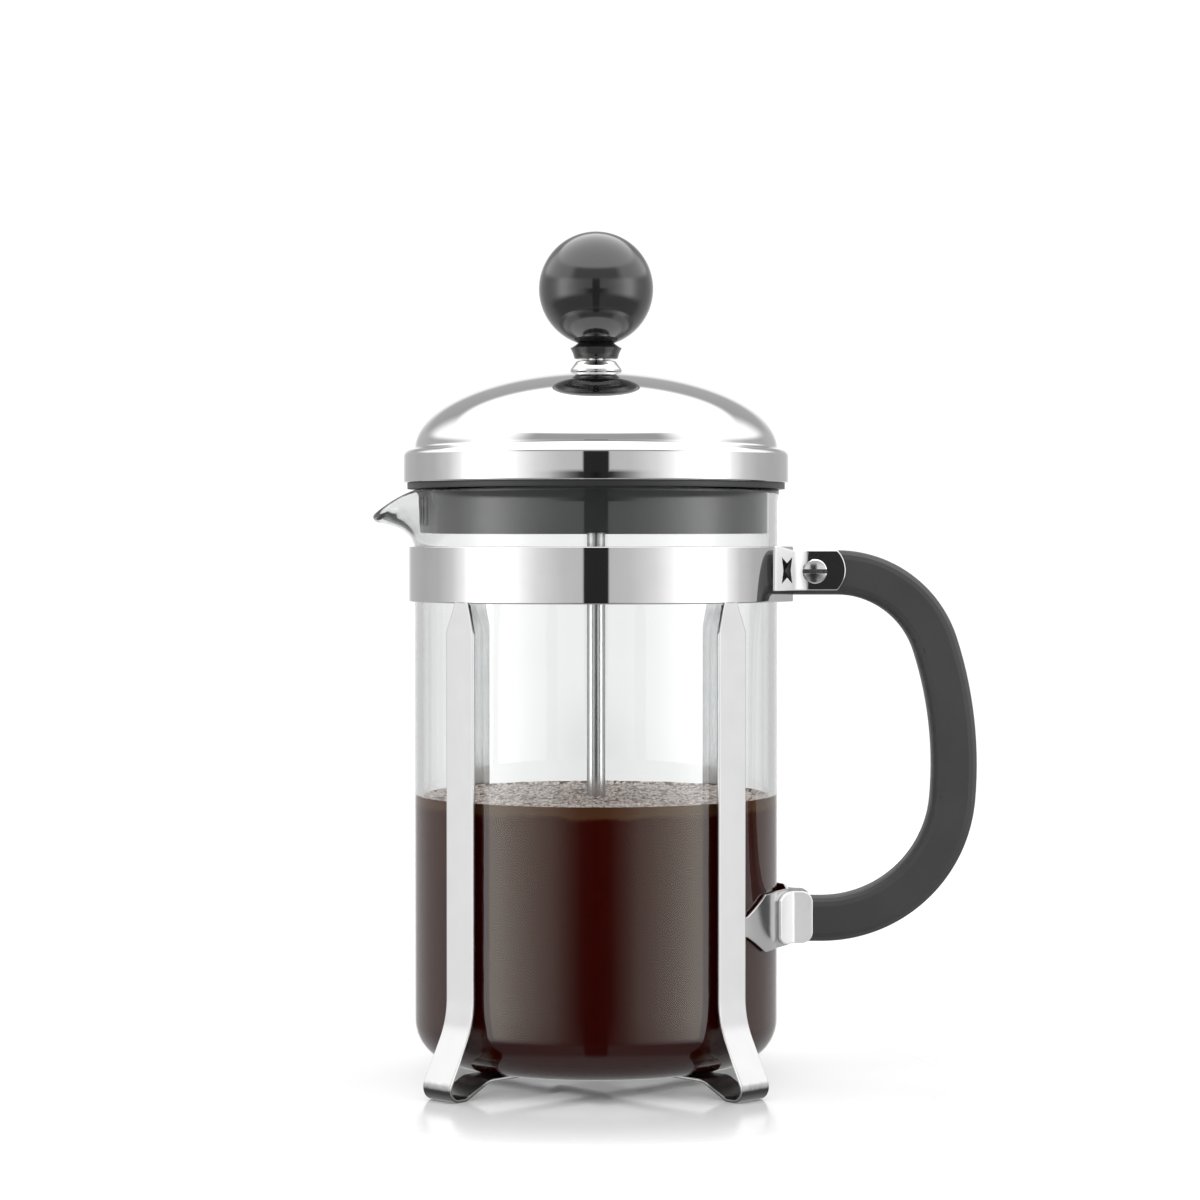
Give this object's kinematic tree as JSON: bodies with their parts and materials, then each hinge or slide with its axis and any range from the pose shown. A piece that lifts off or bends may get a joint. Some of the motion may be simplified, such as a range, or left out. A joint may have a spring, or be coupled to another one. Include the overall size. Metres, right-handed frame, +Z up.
{
  "type": "french press",
  "caption": "One-litre plunger coffee maker: glass beaker with a spout in a chromed frame with a dark handle, domed lid and mesh filter plunger.",
  "frame": {"origin": "on the beaker's axis, at the height of the table that the four feet stand on", "axes": "+Z up along the beaker's axis, +X towards the handle, -X towards the spout"},
  "size_m": [0.1636, 0.104, 0.2287],
  "materials": {
    "beaker_glass": "clear, polished borosilicate glass",
    "chromed_steel": "polished chrome plate",
    "leg_steel": "polished strip with cut edges",
    "handle_plastic": "fine matte texture",
    "screw_steel": "nickel plated",
    "liner_plastic": "satin moulded plastic",
    "knob_plastic": "polished moulded plastic",
    "insert_brass": "turned",
    "filter_steel": "stainless sheet, wire and gauze"
  },
  "bodies": {
    "frame": {"band": "chromed_steel", "ear_front": "chromed_steel", "ear_rear": "chromed_steel", "leg_strap_upper": "leg_steel", "leg_strap_lower": "leg_steel", "saddle_strip": "leg_steel", "clip_front": "chromed_steel", "clip_rear": "chromed_steel", "handle": "handle_plastic", "handle_screw": "screw_steel", "handle_nut": "screw_steel"},
    "beaker": {"beaker": "beaker_glass"},
    "lid": {"lid_dome": "chromed_steel", "lid_liner": "liner_plastic", "rod_bush": "chromed_steel", "bush_nut": "screw_steel"},
    "plunger": {"knob": "knob_plastic", "knob_insert": "insert_brass", "plunger_rod": "filter_steel", "rod_collar": "filter_steel", "spiral_plate": "filter_steel", "edge_spring": "filter_steel", "filter_mesh": "filter_steel", "cross_plate": "filter_steel"}
  },
  "joints": [
    {"name": "beaker_lift", "type": "slide", "parent": "frame", "child": "beaker", "axis": [0, 0, 1], "range_m": [0, 0.16]},
    {"name": "lid_lift", "type": "slide", "parent": "beaker", "child": "lid", "axis": [0, 0, 1], "range_m": [0, 0.16]},
    {"name": "plunge", "type": "slide", "parent": "lid", "child": "plunger", "axis": [0, 0, 1], "range_m": [0, 0.118]}
  ]
}
